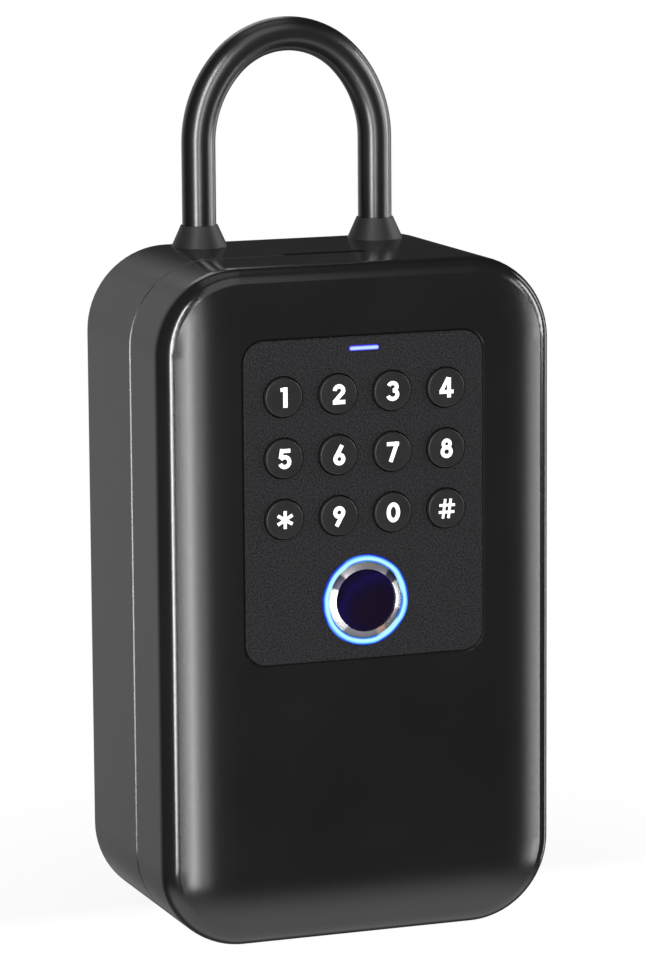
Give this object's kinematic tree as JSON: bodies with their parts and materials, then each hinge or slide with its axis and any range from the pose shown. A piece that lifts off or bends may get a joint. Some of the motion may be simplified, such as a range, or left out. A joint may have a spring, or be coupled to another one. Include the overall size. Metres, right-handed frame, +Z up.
{
  "type": "smart key box",
  "caption": "Portable smart key box with a keypad, fingerprint reader and round steel shackle, whose front opens as a door on a concealed bottom hinge",
  "frame": {"origin": "under the middle of the whole box, at the height of its bottom face", "axes": "+Z up along the body and shackle, +Y from the keypad towards the wall side, +X to the right as seen from the front"},
  "size_m": [0.0954, 0.0588, 0.21],
  "materials": {
    "shell_paint": "satin black powder coat",
    "shackle_gloss": "gloss black",
    "boot_rubber": "matt",
    "seal_rubber": "matt",
    "panel_plastic": "fine sandy texture",
    "key_plastic": "smooth matt",
    "light_plastic": "clear light bar",
    "ring_plastic": "clear light ring",
    "bezel_steel": "turned",
    "window_plastic": "polished",
    "mat_silicone": "matt",
    "circuit_board": "solder resist",
    "antenna_copper": "printed coil",
    "inner_plastic": "moulded",
    "cover_plastic": "fine moulded texture",
    "screw_steel": "zinc plated",
    "pin_steel": "ground",
    "plate_steel": "zinc plated",
    "block_metal": "die cast",
    "contact_steel": "nickel plated",
    "battery_sleeve": "printed sleeve",
    "gear_brass": "machined",
    "motor_steel": "plated",
    "button_plastic": "moulded",
    "socket_steel": "nickel plated"
  },
  "bodies": {
    "case": {"case_shell": "shell_paint", "hinge_pin": "pin_steel", "door_seal": "seal_rubber", "shackle_boot_left": "boot_rubber", "shackle_boot_right": "boot_rubber", "shackle_block": "block_metal", "block_screws": "screw_steel", "strike_plate": "plate_steel", "strike_screws": "screw_steel", "key_hook": "plate_steel", "hook_screws": "screw_steel"},
    "shackle": {"shackle": "shackle_gloss"},
    "lock_plate": {"lock_plate": "plate_steel"},
    "door": {"door_shell": "shell_paint", "keypad_panel": "panel_plastic", "status_light": "light_plastic", "light_ring": "ring_plastic", "sensor_bezel": "bezel_steel", "sensor_window": "window_plastic", "sensor_body": "inner_plastic", "keypad_mat": "mat_silicone", "keypad_board": "circuit_board", "keypad_screws": "screw_steel", "card_antenna": "antenna_copper", "board_header": "inner_plastic", "control_board": "circuit_board", "board_screws": "screw_steel", "buzzer": "inner_plastic", "inner_cover": "cover_plastic", "inner_cover_screws": "screw_steel", "battery_1": "battery_sleeve", "battery_2": "battery_sleeve", "battery_3": "battery_sleeve", "battery_4": "battery_sleeve", "battery_contacts": "contact_steel", "latch_housing": "block_metal", "latch_screws": "screw_steel", "lock_motor": "motor_steel", "usb_socket": "socket_steel"},
    "latch_bolt": {"latch_bolt": "plate_steel"},
    "lock_pinion": {"lock_pinion": "gear_brass"},
    "battery_cover": {"battery_cover": "cover_plastic"},
    "reset_button": {"reset_button": "button_plastic"},
    "key_1": {"key_1": "key_plastic"},
    "key_2": {"key_2": "key_plastic"},
    "key_3": {"key_3": "key_plastic"},
    "key_4": {"key_4": "key_plastic"},
    "key_5": {"key_5": "key_plastic"},
    "key_6": {"key_6": "key_plastic"},
    "key_7": {"key_7": "key_plastic"},
    "key_8": {"key_8": "key_plastic"},
    "key_star": {"key_star": "key_plastic"},
    "key_9": {"key_9": "key_plastic"},
    "key_0": {"key_0": "key_plastic"},
    "key_hash": {"key_hash": "key_plastic"}
  },
  "joints": [
    {"name": "door_hinge", "type": "hinge", "parent": "case", "child": "door", "pos_m": [0, -0.0038, 0.0026], "axis": [1, 0, 0], "range_deg": [0, 90]},
    {"name": "shackle_lift", "type": "slide", "parent": "case", "child": "shackle", "axis": [0, 0, 1], "range_m": [0, 0.03]},
    {"name": "lock_plate_slide", "type": "slide", "parent": "case", "child": "lock_plate", "axis": [1, 0, 0], "range_m": [0, 0.004]},
    {"name": "bolt_slide", "type": "slide", "parent": "door", "child": "latch_bolt", "axis": [0, 0, 1], "range_m": [0, 0.0055]},
    {"name": "pinion_turn", "type": "hinge", "parent": "door", "child": "lock_pinion", "pos_m": [0.009, -0.0089, 0.12], "axis": [0, 1, 0], "range_deg": [0, 78.78]},
    {"name": "battery_cover_slide", "type": "slide", "parent": "door", "child": "battery_cover", "axis": [0, 0, 1], "range_m": [0, 0.004]},
    {"name": "reset_press", "type": "slide", "parent": "door", "child": "reset_button", "axis": [0, -1, 0], "range_m": [0, 0.0008], "stiffness_N_per_m": 300},
    {"name": "key_1_press", "type": "slide", "parent": "door", "child": "key_1", "axis": [0, 1, 0], "range_m": [0, 0.0007], "stiffness_N_per_m": 300},
    {"name": "key_2_press", "type": "slide", "parent": "door", "child": "key_2", "axis": [0, 1, 0], "range_m": [0, 0.0007], "stiffness_N_per_m": 300},
    {"name": "key_3_press", "type": "slide", "parent": "door", "child": "key_3", "axis": [0, 1, 0], "range_m": [0, 0.0007], "stiffness_N_per_m": 300},
    {"name": "key_4_press", "type": "slide", "parent": "door", "child": "key_4", "axis": [0, 1, 0], "range_m": [0, 0.0007], "stiffness_N_per_m": 300},
    {"name": "key_5_press", "type": "slide", "parent": "door", "child": "key_5", "axis": [0, 1, 0], "range_m": [0, 0.0007], "stiffness_N_per_m": 300},
    {"name": "key_6_press", "type": "slide", "parent": "door", "child": "key_6", "axis": [0, 1, 0], "range_m": [0, 0.0007], "stiffness_N_per_m": 300},
    {"name": "key_7_press", "type": "slide", "parent": "door", "child": "key_7", "axis": [0, 1, 0], "range_m": [0, 0.0007], "stiffness_N_per_m": 300},
    {"name": "key_8_press", "type": "slide", "parent": "door", "child": "key_8", "axis": [0, 1, 0], "range_m": [0, 0.0007], "stiffness_N_per_m": 300},
    {"name": "key_star_press", "type": "slide", "parent": "door", "child": "key_star", "axis": [0, 1, 0], "range_m": [0, 0.0007], "stiffness_N_per_m": 300},
    {"name": "key_9_press", "type": "slide", "parent": "door", "child": "key_9", "axis": [0, 1, 0], "range_m": [0, 0.0007], "stiffness_N_per_m": 300},
    {"name": "key_0_press", "type": "slide", "parent": "door", "child": "key_0", "axis": [0, 1, 0], "range_m": [0, 0.0007], "stiffness_N_per_m": 300},
    {"name": "key_hash_press", "type": "slide", "parent": "door", "child": "key_hash", "axis": [0, 1, 0], "range_m": [0, 0.0007], "stiffness_N_per_m": 300}
  ],
  "couplings": [
    {"joint": "pinion_turn", "follows": "bolt_slide", "rad_per_m": 250}
  ]
}
